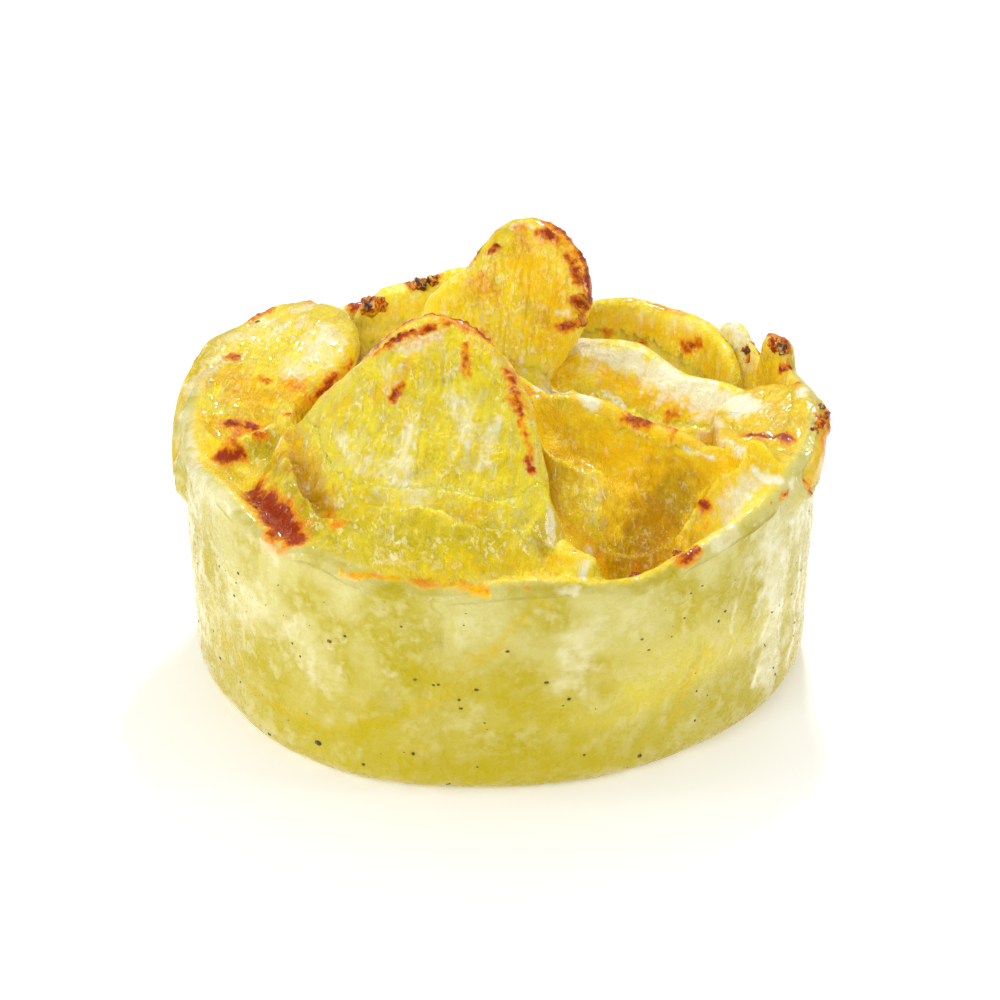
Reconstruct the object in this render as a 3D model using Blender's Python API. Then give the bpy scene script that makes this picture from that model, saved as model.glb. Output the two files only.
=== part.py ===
"""A single-portion potato gratin, turned out of its round mould.

A drum of set cream and potato carries potato slices that stand or lie in its open top.
Units are metres, +Z is up, and the origin is at the centre of the flat foot.
An azimuth is in degrees, from the front (-Y) round towards the right (+X).
"""

import math
import random

import bmesh
import bpy
from mathutils import Matrix, Vector, noise

MM = 0.001

# The drum, as the mould leaves it
FOOT_RADIUS = 37.4 * MM
FOOT_ROUNDING = 3.4 * MM
DRAFT = 0.035
WALL_HEIGHT = 28.4 * MM
RIM_ROUNDING = 1.5 * MM
MOULD_RADIUS = 39.7 * MM
DRUM_STEPS = 72
WALL_ROWS = 6
TOP_ROWS = 13
FOOT_ROWS = 2
ROUNDING_ROWS = 3

# The rim's height above or below WALL_HEIGHT: azimuth, half-width in degrees, height
RIM_SWELLS = (
    (-62, 12, 2.6 * MM),
    (-33, 5, 1.0 * MM),
    (-14, 14, -1.6 * MM),
    (23, 11, -1.9 * MM),
    (60, 18, 1.8 * MM),
    (100, 20, 4.2 * MM),
    (155, 26, 2.4 * MM),
    (-150, 30, 3.4 * MM),
    (-105, 22, 1.2 * MM),
)

# Where the soft wall has sagged out of round, strongest at the foot: azimuth, half-width, reach
FOOT_SAGS = ((-31, 22, 1.6 * MM), (38, 22, -0.7 * MM), (160, 40, 0.5 * MM))
SAG_AT_RIM = 0.25

# The filling inside the rim: place of the middle, half-width, height above or below FILL_LEVEL
FILL_LEVEL = 26.6 * MM
RIM_WIDTH = 4.0 * MM
FILL_SWELLS = (
    ((-5 * MM, -2 * MM), 13 * MM, 13.0 * MM),
    ((14.5 * MM, -26 * MM), 6.5 * MM, -8.0 * MM),
    ((19 * MM, -19 * MM), 6.0 * MM, -3.5 * MM),
    ((31 * MM, -15 * MM), 6.5 * MM, 3.4 * MM),
    ((-24 * MM, -14 * MM), 6.5 * MM, 1.6 * MM),
    ((24 * MM, 18 * MM), 9.0 * MM, -2.0 * MM),
    ((-14 * MM, 20 * MM), 8.0 * MM, 1.2 * MM),
    ((9.8 * MM, -32.2 * MM), 1.7 * MM, 4.2 * MM),
    ((6.0 * MM, -26 * MM), 3.0 * MM, 3.6 * MM),
)

# Unevenness of every surface. On the drum's underside it fades out from the wall inwards.
RELIEF_SIZE = 7 * MM
RELIEF_HEIGHT = 0.5 * MM
RELIEF_FADE = 8
TINY = 0.001 * MM
WELD = 0.03 * MM

# Slices. reach is the outline's distance from the middle in millimetres, every 45 degrees
# from the slice's right side, turning left. curl is how far the outline bends forward, and
# bends are places where it folds further: angle, half-width in degrees, reach forward.
SLICE_STEPS = 26
FACE_ROWS = 3
EDGE_ROWS = 2
REACH_STEP = 45
FACE_SHARE = 0.84
CLEARANCE = 0.3 * MM

SLICES = {
    "front_slice": {
        "middle": (-9.0, -18.5, 37.0),
        "faces": (-10, 50),
        "reach": (14.0, 13.4, 15.0, 13.0, 18.0, 19.4, 19.6, 19.8),
        "thickness": 4.2,
        "curl": (-1.0, 1.2),
        "bends": ((190, 42, -10.0),),
    },
    "tall_slice": {
        "middle": (1.6, 12.5, 38.0),
        "faces": (-14, 32),
        "reach": (8.8, 11.5, 12.8, 9.0, 11.8, 13.0, 13.0, 8.4),
        "thickness": 4.0,
        "curl": (-0.8, 0.8),
    },
    "left_slice": {
        "middle": (-28.4, 11.5, 31.0),
        "faces": (-20, 78),
        "reach": (8.6, 12.0, 16.8, 11.0, 11.4, 14.0, 21.2, 9.6),
        "thickness": 4.0,
        "curl": (0.6, -0.8),
    },
    "back_left_slice": {
        "middle": (-9.0, 28.6, 29.0),
        "faces": (14, 24),
        "reach": (13.0, 11.0, 7.2, 8.8, 11.0, 9.0, 8.0, 9.0),
        "thickness": 3.8,
        "curl": (1.2, 0.4),
    },
    "back_right_slice": {
        "middle": (20.4, 27.6, 25.6),
        "faces": (-35, 16),
        "reach": (15.6, 9.8, 7.3, 9.9, 14.5, 10.0, 8.0, 9.0),
        "thickness": 3.6,
        "curl": (2.8, 0.3),
    },
    "right_middle_slice": {
        "middle": (19.6, 6.2, 29.2),
        "faces": (-24, 46),
        "reach": (14.8, 6.2, 5.2, 9.4, 18.0, 9.0, 8.0, 9.0),
        "thickness": 4.4,
        "curl": (-0.6, 0.5),
    },
    "right_front_slice": {
        "middle": (16.0, -13.4, 26.4),
        "faces": (-6, 48),
        "reach": (13.0, 10.2, 9.8, 15.4, 11.0, 10.6, 11.6, 10.6),
        "thickness": 3.8,
        "curl": (2.2, 1.2),
        "bends": ((-20, 45, -1.5),),
    },
    "right_rim_slice": {
        "middle": (31.0, -3.0, 30.6),
        "faces": (-30, 80),
        "reach": (9.0, 9.0, 9.4, 6.8, 5.8, 5.4, 8.6, 15.6),
        "thickness": 3.6,
        "curl": (0.5, -0.6),
    },
    "back_scrap": {
        "middle": (29.8, 20.2, 30.6),
        "faces": (-44, 14),
        "reach": (3.2, 2.6, 3.4, 3.6, 3.4, 3.4, 3.4, 3.2),
        "thickness": 2.6,
        "curl": (0.2, 0.1),
    },
    "side_scrap": {
        "middle": (34.6, 13.6, 32.0),
        "faces": (-58, 10),
        "reach": (2.8, 3.4, 3.2, 3.6, 2.8, 2.8, 2.8, 2.8),
        "thickness": 2.4,
        "curl": (0.2, 0.1),
    },
}

# Browned crumbs baked onto a slice's raised edge: slice, first and last angle on its outline, count, radius
CRUMBS = (
    ("tall_slice", 0, 30, 3, 0.9 * MM),
    ("tall_slice", 104, 132, 3, 0.55 * MM),
    ("back_left_slice", 142, 156, 2, 1.2 * MM),
    ("back_left_slice", 80, 104, 3, 0.85 * MM),
    ("left_slice", 262, 284, 2, 0.7 * MM),
    ("right_rim_slice", -6, 42, 4, 0.65 * MM),
    ("side_scrap", 40, 130, 3, 0.7 * MM),
    ("back_scrap", -24, 24, 2, 0.5 * MM),
)
CRUMB_UNEVENNESS = 0.35

# Ranges drawn from: place within a crumb's stretch, share of the way out, side, size, and shape
CRUMB_PLACES = (0.2, 0.8)
CRUMB_REACHES = (0.86, 0.96)
CRUMB_SIDES = (0.4, 1.0)
CRUMB_SIZES = (0.7, 1.3)
CRUMB_SHAPES = (0, 50)

# Flat blisters of browned cream on the drum's top: azimuth, distance in from the wall, radius
BLISTERS = (
    (-55, 4.0 * MM, 1.3 * MM),
    (-50, 5.2 * MM, 1.5 * MM),
    (-45, 4.6 * MM, 1.4 * MM),
    (-41, 5.6 * MM, 1.1 * MM),
    (25.6, 2.6 * MM, 0.7 * MM),
    (57.6, 10.6 * MM, 0.8 * MM),
    (52.2, 7.9 * MM, 0.5 * MM),
    (34.6, 2.4 * MM, 0.8 * MM),
)
BLISTER_FLATNESS = 0.45

COLOURS = {
    "custard": (0.86, 0.78, 0.38, 1),
    "potato": (0.88, 0.74, 0.22, 1),
}
ROUGHNESS = 0.4


def swell(distance, half_width):
    """A smooth hump: 1 at distance 0, falling to about a third at half_width."""
    return math.exp(-((distance / half_width) ** 2))


def turn_between(first, second):
    """The angle between two azimuths, in degrees, from 0 to 180."""
    return abs((first - second + 180) % 360 - 180)


def azimuth_of(x, y):
    return math.degrees(math.atan2(x, -y))


def toward(azimuth, distance):
    """The x and y at a distance from the axis."""
    angle = math.radians(azimuth)
    return distance * math.sin(angle), -distance * math.cos(angle)


def relief(point, size, height):
    return height * noise.noise(Vector(point) / size)


def rim_height(azimuth):
    swells = (h * swell(turn_between(azimuth, a), w) for a, w, h in RIM_SWELLS)
    return WALL_HEIGHT + sum(swells)


def wall_radius(azimuth, z):
    """The drum's outer radius: the mould's draft, with the foot's sags dying out towards the rim."""
    low = 1 - (1 - SAG_AT_RIM) * min(1.0, z / WALL_HEIGHT)
    sags = sum(r * swell(turn_between(azimuth, a), w) for a, w, r in FOOT_SAGS)
    return FOOT_RADIUS + DRAFT * z + low * sags


def fill_height(x, y):
    """The height of the filling's own surface, inside the rim."""
    swells = (h * swell(math.hypot(x - cx, y - cy), w) for (cx, cy), w, h in FILL_SWELLS)
    return FILL_LEVEL + sum(swells)


def top_height(x, y):
    """The top surface: the rim's rounded crest, easing down or up to the filling."""
    azimuth = azimuth_of(x, y)
    rim = rim_height(azimuth)
    inward = wall_radius(azimuth, rim) - math.hypot(x, y)
    if inward < RIM_ROUNDING:
        drop = 1 - math.sqrt(max(0.0, 1 - (1 - inward / RIM_ROUNDING) ** 2))
        rim -= RIM_ROUNDING * drop
    ease = min(1.0, max(0.0, (inward - RIM_ROUNDING) / RIM_WIDTH))
    ease = ease * ease * (3 - 2 * ease)
    rough = relief((x, y, 0), RELIEF_SIZE, RELIEF_HEIGHT) * ease
    return rim + (fill_height(x, y) - rim) * ease + rough


def turned(profile, steps):
    """A bmesh made by turning a profile of (radius, height) points about Z."""
    bm = bmesh.new()
    points = [bm.verts.new((r, 0, z)) for r, z in profile]
    edges = [bm.edges.new(pair) for pair in zip(points, points[1:])]
    bmesh.ops.spin(
        bm,
        geom=points + edges,
        axis=(0, 0, 1),
        cent=(0, 0, 0),
        angle=2 * math.pi,
        steps=steps,
        use_merge=True,
    )
    bmesh.ops.remove_doubles(bm, verts=bm.verts, dist=TINY)
    bmesh.ops.recalc_face_normals(bm, faces=bm.faces)
    return bm


def object_from(bm, name):
    mesh = bpy.data.meshes.new(name)
    bm.to_mesh(mesh)
    bm.free()
    obj = bpy.data.objects.new(name, mesh)
    bpy.context.scene.collection.objects.link(obj)
    return obj


def quarter_round(radius, rows):
    """Points of a quarter circle as (reach, rise), both from 0 to radius."""
    turns = [math.pi / 2 * k / rows for k in range(rows + 1)]
    return [(radius * math.sin(a), radius * (1 - math.cos(a))) for a in turns]


def drum_profile():
    """Foot, rounded lower edge, wall and flat top. The top is shaped by top_height afterwards."""
    flat = FOOT_RADIUS - FOOT_ROUNDING
    foot = [(flat * k / FOOT_ROWS, 0) for k in range(FOOT_ROWS)]
    edge = [(flat + out, up) for out, up in quarter_round(FOOT_ROUNDING, ROUNDING_ROWS)]
    rise = WALL_HEIGHT - RIM_ROUNDING - FOOT_ROUNDING
    wall = [(FOOT_RADIUS, FOOT_ROUNDING + rise * k / WALL_ROWS) for k in range(1, WALL_ROWS)]
    crest = [(FOOT_RADIUS - up, WALL_HEIGHT) for _, up in quarter_round(RIM_ROUNDING, ROUNDING_ROWS)]
    inner = FOOT_RADIUS - RIM_ROUNDING
    top = [(inner * (1 - k / TOP_ROWS), WALL_HEIGHT) for k in range(1, TOP_ROWS + 1)]
    return foot + edge + wall + crest + top


def make_drum():
    """The drum of set cream and potato, with the rim and the uneven filling."""
    bm = turned(drum_profile(), DRUM_STEPS)
    for vert in bm.verts:
        x, y, z = vert.co
        azimuth = azimuth_of(x, y)
        share = math.hypot(x, y) / FOOT_RADIUS
        if z == 0:
            vert.co = Vector((x, y, 0)) * wall_radius(azimuth, 0) / FOOT_RADIUS
            continue
        on_top = z > WALL_HEIGHT - TINY
        height = rim_height(azimuth) if on_top else z * rim_height(azimuth) / WALL_HEIGHT
        radius = share * wall_radius(azimuth, height)
        radius += relief((x, y, z), RELIEF_SIZE, RELIEF_HEIGHT / 2) * share ** RELIEF_FADE
        x, y = toward(azimuth, radius)
        vert.co = (x, y, top_height(x, y) if on_top else height)
    return object_from(bm, "custard_drum")


def slice_frame(form):
    """The slice's place: local Z is the way its face looks, and local Y is up its face."""
    azimuth, elevation = (math.radians(a) for a in form["faces"])
    level = math.cos(elevation)
    normal = Vector((math.sin(azimuth) * level, -math.cos(azimuth) * level, math.sin(elevation)))
    up = (Vector((0, 0, 1)) - normal * normal.z).normalized()
    turn = Matrix((up.cross(normal), up, normal)).transposed().to_4x4()
    return Matrix.Translation(Vector(form["middle"]) * MM) @ turn


def reach_at(form, angle):
    """The outline's distance from the middle, on a smooth curve through the reaches."""
    reach = form["reach"]
    place = (angle / REACH_STEP) % len(reach)
    step = int(place)
    t = place - step
    a, b, c, d = (reach[(step + k) % len(reach)] for k in (-1, 0, 1, 2))
    curve = 2 * b + (c - a) * t
    curve += (2 * a - 5 * b + 4 * c - d) * t ** 2 + (3 * b - a - 3 * c + d) * t ** 3
    return curve / 2 * MM


def slice_point(form, share, angle, side):
    """The slice's own point at a share of the way out, on a side from -1 (back) to 1 (front)."""
    size = sum(form["reach"]) / len(form["reach"]) * MM
    width = form["thickness"] / 2 * MM
    face = reach_at(form, angle) - width
    out = face * min(1.0, share / FACE_SHARE) + width * max(0.0, share - FACE_SHARE) / (1 - FACE_SHARE)
    x, y = out * math.cos(math.radians(angle)), out * math.sin(math.radians(angle))
    across, along = form["curl"]
    bend = across * (x / size) ** 2 + along * (y / size) ** 2
    bends = (depth * swell(turn_between(angle, a), w) for a, w, depth in form.get("bends", ()))
    bend += sum(bends) * share ** 3
    return Vector((x, y, side * width + bend * MM))


def pressed_to_mould(point, limit):
    """What would reach past the mould's wall is pushed back to it."""
    radius = math.hypot(point.x, point.y)
    if radius <= limit:
        return point
    return Vector((point.x * limit / radius, point.y * limit / radius, point.z))


def disc_profile():
    """The slice's section as (share of the way out, side), with a rounded edge."""
    rows = [(FACE_SHARE * k / FACE_ROWS, 1) for k in range(FACE_ROWS)]
    turns = [math.pi * k / (2 * EDGE_ROWS) for k in range(2 * EDGE_ROWS + 1)]
    rows += [(FACE_SHARE + (1 - FACE_SHARE) * math.sin(a), math.cos(a)) for a in turns]
    return rows + [(FACE_SHARE * (1 - k / FACE_ROWS), -1) for k in range(1, FACE_ROWS + 1)]


def make_slice(name, form, grow):
    """A potato slice: an uneven disc with a rounded edge, curled. grow makes it larger all round."""
    bm = turned(disc_profile(), SLICE_STEPS)
    frame = slice_frame(form)
    for vert in bm.verts:
        x, y, side = vert.co
        share, angle = math.hypot(x, y), math.degrees(math.atan2(y, x))
        local = slice_point(form, share, angle, side)
        local.z += relief(local, RELIEF_SIZE, RELIEF_HEIGHT)
        vert.co = pressed_to_mould(frame @ local, MOULD_RADIUS)
    bm.normal_update()
    for vert in bm.verts:
        vert.co += vert.normal * grow
    return object_from(bm, name)


def crumb(place, radius, grow, seed):
    """A small uneven lump."""
    bm = bmesh.new()
    bmesh.ops.create_icosphere(bm, subdivisions=1, radius=1)
    for vert in bm.verts:
        lump = 1 + CRUMB_UNEVENNESS * noise.noise(vert.co + Vector((seed, 0, 0)))
        vert.co = place + vert.co * (radius * lump + grow)
    return object_from(bm, "crumb")


def crumbs_on(name, form, grow):
    """Crumbs spread along the slice's outline, the same ones at every call."""
    draw = random.Random(name)
    frame = slice_frame(form)
    found = []
    for first, last, count, size in (row[1:] for row in CRUMBS if row[0] == name):
        for k in range(count):
            angle = first + (last - first) * (k + draw.uniform(*CRUMB_PLACES)) / count
            share, side = draw.uniform(*CRUMB_REACHES), draw.uniform(*CRUMB_SIDES)
            local = slice_point(form, share, angle, side)
            radius = size * draw.uniform(*CRUMB_SIZES)
            place = pressed_to_mould(frame @ local, MOULD_RADIUS - radius)
            found.append(crumb(place, radius, grow, draw.uniform(*CRUMB_SHAPES)))
    return found


def blisters():
    """The browned blisters on the drum's top."""
    found = []
    for azimuth, inward, radius in BLISTERS:
        x, y = toward(azimuth, wall_radius(azimuth, WALL_HEIGHT) - inward)
        height = top_height(x, y)
        blister = crumb(Vector((x, y, height)), radius, 0, azimuth)
        for vert in blister.data.vertices:
            vert.co.z = height + (vert.co.z - height) * BLISTER_FLATNESS
        found.append(blister)
    return found


def islands(bm):
    """The separate bodies of bm, each as a list of faces."""
    left, found = set(bm.faces), []
    while left:
        body, front = [], [left.pop()]
        while front:
            face = front.pop()
            body.append(face)
            near = {f for edge in face.edges if edge.is_manifold for f in edge.link_faces} & left
            left -= near
            front.extend(near)
        found.append(body)
    return found


def drop_scraps(mesh):
    """Keeps the largest body of a mesh, as a cut can leave slivers and loose scraps."""
    bm = bmesh.new()
    bm.from_mesh(mesh)
    bmesh.ops.triangulate(bm, faces=bm.faces)
    bmesh.ops.remove_doubles(bm, verts=bm.verts, dist=WELD)
    bodies = sorted(islands(bm), key=lambda faces: sum(f.calc_area() for f in faces))
    scraps = [face for body in bodies[:-1] for face in body]
    bmesh.ops.delete(bm, geom=scraps, context="FACES")
    bm.to_mesh(mesh)
    bm.free()


def boolean(obj, operation, others):
    """Cuts the others from obj, or joins them to it, and removes them."""
    group = bpy.data.collections.new("operands")
    for other in others:
        group.objects.link(other)
    modifier = obj.modifiers.new(operation, "BOOLEAN")
    modifier.operation = operation
    modifier.operand_type = "COLLECTION"
    modifier.collection = group
    graph = bpy.context.evaluated_depsgraph_get()
    done = bpy.data.meshes.new_from_object(obj.evaluated_get(graph))
    obj.modifiers.clear()
    drop_scraps(done)
    obj.data = done
    for other in others:
        bpy.data.objects.remove(other)
    bpy.data.collections.remove(group)


def slice_with_crumbs(name, node_name, grow=0.0):
    piece = make_slice(node_name, SLICES[name], grow)
    crumbs = crumbs_on(name, SLICES[name], grow)
    if crumbs:
        boolean(piece, "UNION", crumbs)
    return piece


def cutters(names):
    """The slices of these names, larger by the clearance."""
    return [slice_with_crumbs(name, "cutter", CLEARANCE) for name in names]


def finish(name):
    material = bpy.data.materials.new(name)
    material.use_nodes = True
    shader = material.node_tree.nodes["Principled BSDF"]
    shader.inputs["Base Color"].default_value = COLOURS[name]
    shader.inputs["Roughness"].default_value = ROUGHNESS
    shader.inputs["Metallic"].default_value = 0.0
    return material


def main():
    for obj in list(bpy.data.objects):
        bpy.data.objects.remove(obj)
    potato = finish("potato")
    names = list(SLICES)
    for place, name in enumerate(names):
        piece = slice_with_crumbs(name, name)
        if place:
            boolean(piece, "DIFFERENCE", cutters(names[:place]))
        piece.data.materials.clear()
        piece.data.materials.append(potato)
    drum = make_drum()
    boolean(drum, "UNION", blisters())
    boolean(drum, "DIFFERENCE", cutters(names))
    drum.data.materials.append(finish("custard"))


main()
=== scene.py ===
"""The looks of a single-portion potato gratin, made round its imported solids.

Shapes are worked out in millimetres and made in metres. +Z is up and the foot's centre is the origin.
An azimuth is in degrees, from the front (-Y) round towards the right (+X).
"""

import functools
import math
import random
import typing

import bmesh
import bpy
import numpy as np
from mathutils import Matrix, Vector, noise
from mathutils.bvhtree import BVHTree


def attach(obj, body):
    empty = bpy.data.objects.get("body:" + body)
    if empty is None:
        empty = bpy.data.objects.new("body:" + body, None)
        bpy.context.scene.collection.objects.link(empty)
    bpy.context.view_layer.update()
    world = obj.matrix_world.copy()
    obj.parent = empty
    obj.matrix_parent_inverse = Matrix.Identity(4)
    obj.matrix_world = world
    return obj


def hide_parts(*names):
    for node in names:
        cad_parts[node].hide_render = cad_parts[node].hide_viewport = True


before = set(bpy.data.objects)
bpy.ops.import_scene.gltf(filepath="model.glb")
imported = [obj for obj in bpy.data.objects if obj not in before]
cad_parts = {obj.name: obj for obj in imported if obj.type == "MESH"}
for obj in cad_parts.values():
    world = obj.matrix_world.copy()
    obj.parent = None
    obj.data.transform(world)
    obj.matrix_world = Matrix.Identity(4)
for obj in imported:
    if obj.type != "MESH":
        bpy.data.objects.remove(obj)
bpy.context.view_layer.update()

MM = 0.001

# The drum's form, in millimetres, as in the solids
FOOT_RADIUS = 37.4
FOOT_ROUNDING = 3.4
DRAFT = 0.035
WALL_HEIGHT = 28.4
RIM_ROUNDING = 1.5
MOULD_RADIUS = 39.7
FILL_LEVEL = 26.6
RIM_WIDTH = 4.0
SAG_AT_RIM = 0.25

# The rim's height above or below WALL_HEIGHT: azimuth, half-width in degrees, height
RIM_SWELLS = (
    (-62, 12, 2.6), (-33, 5, 1.0), (-14, 14, -1.6), (23, 11, -1.9), (60, 18, 1.8),
    (100, 20, 4.2), (155, 26, 2.4), (-150, 30, 3.4), (-105, 22, 1.2),
)

# Where the soft wall has sagged out of round: azimuth, half-width, reach
FOOT_SAGS = ((-31, 22, 1.6), (38, 22, -0.7), (160, 40, 0.5))

# The filling: place of the middle, half-width, height above or below FILL_LEVEL. The front left is
# raised further than in the solids
FILL_SWELLS = (
    ((-5, -2), 13, 13.0), ((14.5, -26), 6.5, -8.0), ((19, -19), 6.0, -3.5),
    ((31, -15), 6.5, 3.4), ((-24, -15), 7.0, 3.2), ((24, 18), 9.0, -2.0),
    ((-14, 20), 8.0, 1.2), ((6.0, -26), 3.0, 3.6), ((-10, -31.5), 8.0, 2.8),
)

# The broken corner of the filling behind the front rim, like a tooth, broader than in the solids
TOOTH = (8.7, -31.6)
TOOTH_WIDTHS = (3.3, 3.2)
TOOTH_HEIGHT = 4.6
TOOTH_LEAN = 0.2
TOOTH_EDGE = (0.6, 1.15)

# Unevenness of every surface, as in the solids, and how fast it fades inwards from the wall
RELIEF_SIZE = 7.0
RELIEF_HEIGHT = 0.5
RELIEF_FADE = 8

# Degrees between the reaches of a slice's outline
REACH_STEP = 45


class Slice(typing.NamedTuple):
    """A potato slice, in millimetres and degrees. Its outline's angles run from its right over its top."""

    middle: tuple
    # The azimuth and rise that its face looks to
    faces: tuple
    # How far its outline reaches, every REACH_STEP degrees
    reach: tuple
    thickness: float
    # How far it curves across and along
    curl: tuple
    # Steps round and rows out in its mesh
    detail: tuple
    # How deep in colour, how dim (mostly painted shade) and how pale it is as a whole
    tone: tuple
    # Bends: angle on its outline, half-width, depth
    bends: tuple = ()
    # Browned crumbs: first and last angle on its outline, count, radius
    crumbs: tuple = ()
    # Thin browned lines along its edge: first and last angle on its outline, strength
    lines: tuple = ()


# As in the solids, but that the front, right middle and right rim slices bend or reach a little further
SLICES = {
    "front_slice": Slice(
        (-9, -18.5, 37), (-10, 50), (14, 13.4, 15, 13, 18, 19.4, 19.6, 19.8), 4.2, (-1, 1.2), (420, 84),
        (0.08, 0.5, 0.2), bends=((190, 42, -10), (275, 60, -3.2)), lines=((58, 134, 1),),
    ),
    "tall_slice": Slice(
        (1.6, 12.5, 38), (-14, 32), (8.8, 11.5, 12.8, 9, 11.8, 13, 13, 8.4), 4, (-0.8, 0.8), (300, 56),
        (0.22, 0.1, 0), crumbs=((0, 30, 3, 0.9), (104, 132, 3, 0.55)), lines=((14, 80, 1), (102, 140, 0.6)),
    ),
    "left_slice": Slice(
        (-28.4, 11.5, 31), (-20, 78), (8.6, 12, 16.8, 11, 11.4, 14, 21.2, 9.6), 4, (0.6, -0.8), (340, 64),
        (0.38, 0.46, 0), crumbs=((262, 284, 2, 0.7),), lines=((256, 300, 0.7),),
    ),
    "back_left_slice": Slice(
        (-9, 28.6, 29), (14, 24), (13, 11, 7.2, 8.8, 11, 9, 8, 9), 3.8, (1.2, 0.4), (240, 40), (0.06, 0, 0),
        crumbs=((142, 156, 2, 1.2), (80, 104, 3, 0.85)), lines=((76, 108, 0.5), (140, 158, 0.7)),
    ),
    "back_right_slice": Slice(
        (20.4, 27.6, 25.6), (-35, 16), (15.6, 9.8, 7.3, 9.9, 14.5, 10, 8, 9), 3.6, (2.8, 0.3), (260, 44),
        (0.06, 0, 0), lines=((60, 128, 0.35),),
    ),
    "right_middle_slice": Slice(
        (19.6, 6.2, 29.2), (-24, 46), (14.8, 6.4, 5.6, 10.8, 20, 9, 8, 9), 4.4, (-0.6, 0.5), (300, 50),
        (0.05, 0, 0.05),
    ),
    "right_front_slice": Slice(
        (16, -13.4, 26.4), (-6, 48), (13, 10.2, 9.8, 15.4, 11, 10.6, 11.6, 10.6), 3.8, (2.2, 1.2),
        (300, 52), (0.64, 0, 0), bends=((-20, 45, -1.5),), lines=((60, 92, 0.4),),
    ),
    "right_rim_slice": Slice(
        (31, -3, 30.6), (-30, 80), (9, 9, 9.4, 6.8, 5.8, 5.4, 8.6, 13.8), 3.6, (0.5, -0.6), (240, 40),
        (0.62, 0.42, 0), crumbs=((-6, 42, 4, 0.65),), lines=((-20, 50, 0.8),),
    ),
    "back_scrap": Slice(
        (29.8, 20.2, 30.6), (-44, 14), (3.2, 2.6, 3.4, 3.6, 3.4, 3.4, 3.4, 3.2), 2.6, (0.2, 0.1), (110, 16),
        (0.1, 0, 0.5), crumbs=((-24, 24, 2, 0.5),), lines=((-30, 40, 0.95),),
    ),
    "side_scrap": Slice(
        (34.6, 13.6, 32), (-58, 10), (2.8, 3.4, 3.2, 3.6, 2.8, 2.8, 2.8, 2.8), 2.4, (0.2, 0.1), (110, 16),
        (0.3, 0.25, 0), crumbs=((40, 130, 3, 0.7),), lines=((30, 140, 0.9),),
    ),
}

# Crumbs: mesh rows, unevenness, and how fine and how deep their knobs and creases are
CRUMB_ROWS = 3
CRUMB_UNEVENNESS = 0.35
CRUMB_KNOBS = (1.7, 0.5)
CRUMB_CREASES = (3.4, 0.3)

# Ranges drawn from: place within a crumb's stretch, share of the way out, side, size, and shape
CRUMB_PLACES = (0.2, 0.8)
CRUMB_REACHES = (0.86, 0.96)
CRUMB_SIDES = (0.4, 1.0)
CRUMB_SIZES = (0.7, 1.3)
CRUMB_SHAPES = (0, 50)

# Flat blisters of browned cream on the drum's top: azimuth, distance in from the wall, radius
BLISTERS = (
    (-55, 4.0, 1.3), (-50, 5.2, 1.5), (-45, 4.6, 1.4), (-41, 5.6, 1.1),
    (25.6, 2.6, 0.7), (57.6, 10.6, 0.8), (52.2, 7.9, 0.5), (34.6, 2.4, 0.8),
)
BLISTER_FLATNESS = 0.45

# The drum's mesh
DOUBLES = 0.0005
DRUM_STEPS = 520
WALL_ROWS = 68
CREST_ROWS = 9
FINE_TOP_ROWS = 62
FINE_TOP_STEP = 0.36
PLAIN_TOP_ROWS = 15
FOOT_ROWS = 4

# The finer unevenness of wall and top: size and height, for the top after the noise's layer. It is
# less at the rim, and the wall's own reaches over the crest
WALL_LUMPS = ((2.6, 0.10), (0.9, 0.035))
TOP_LUMPS = ((7, 2.4, 0.5), (3, 1.0, 0.22), (9, 0.45, 0.08))
RIM_DETAIL = 0.5
CREST_FADE = 60
FAINT = 0.01
OUTSIDE = 60

# Soft dimples in the wall: azimuth, height, radius, depth
DIMPLES = (
    (-26, 10.5, 1.5, 0.35), (-18, 12.1, 1.4, 0.45), (-13, 14.0, 1.4, 0.45), (-9, 20.8, 1.2, 0.4),
    (4, 7.9, 1.6, 0.4), (-40, 16.0, 1.6, 0.2), (24, 12.0, 1.8, 0.25), (34, 21.0, 1.6, 0.25),
    (70, 12.0, 1.8, 0.3), (100, 18.0, 1.6, 0.35), (128, 9.0, 1.5, 0.4), (150, 20.0, 1.7, 0.35),
    (176, 13.0, 1.5, 0.4), (-160, 8.0, 1.6, 0.35), (-135, 19.0, 1.6, 0.35), (-108, 11.0, 1.8, 0.35),
    (-84, 21.0, 1.5, 0.3),
)

# How near in degrees a dimple or fold has to be to be felt
FELT_WITHIN = 12

# Long soft folds that the mould's lining left in the wall: azimuth at the foot and rim, width, depth
FOLDS = (
    (-66, -60, 1.6, 0.22), (31, 42, 2.4, 0.18), (52, 58, 1.2, 0.22), (63, 66, 1.0, 0.20),
    (112, 104, 1.6, 0.25), (168, 176, 2.0, 0.2), (-142, -136, 1.6, 0.25), (-100, -96, 1.4, 0.2),
)

# How the cream climbs the slices that stand in it, and how the wall's top reaches out to them
CLIMB = 4.4
BACK_CLIMB = 1.8
CLIMB_FADES = (-6.0, 4.0)
RIM_CLIMB = 0.45
FLARE = 1.3
FLARE_REACH = 2.4
FLARE_DEPTH = 6.0
BLEND_GAP = 2.6

# Rays that measure how sheltered a place is, for the painted shade: azimuth and rise; the lowest height
# they are cast from, how far off the surface they start, and how far they reach
SKY = ((0, 0.5), (60, 1.2), (120, 0.5), (180, 1.2), (240, 0.5), (300, 1.2), (0, 6.0))
SHELTER_FROM = 22.0
SHELTER_START = 0.3
SHELTER_REACH = 14.0

# Painted shade: how much deeper and dimmer in colour a fully sheltered place is painted
DRUM_PAINTED_SHADE = (0.7, 0.3)
SLICE_PAINTED_SHADE = (0.4, 0.15)

# The filling's tone away from the slices, and over what distance it takes on theirs
FILLING_TONE = (0.3, 0.0, 0.0)
TONE_FADES = (0.5, 5.0)

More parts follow.
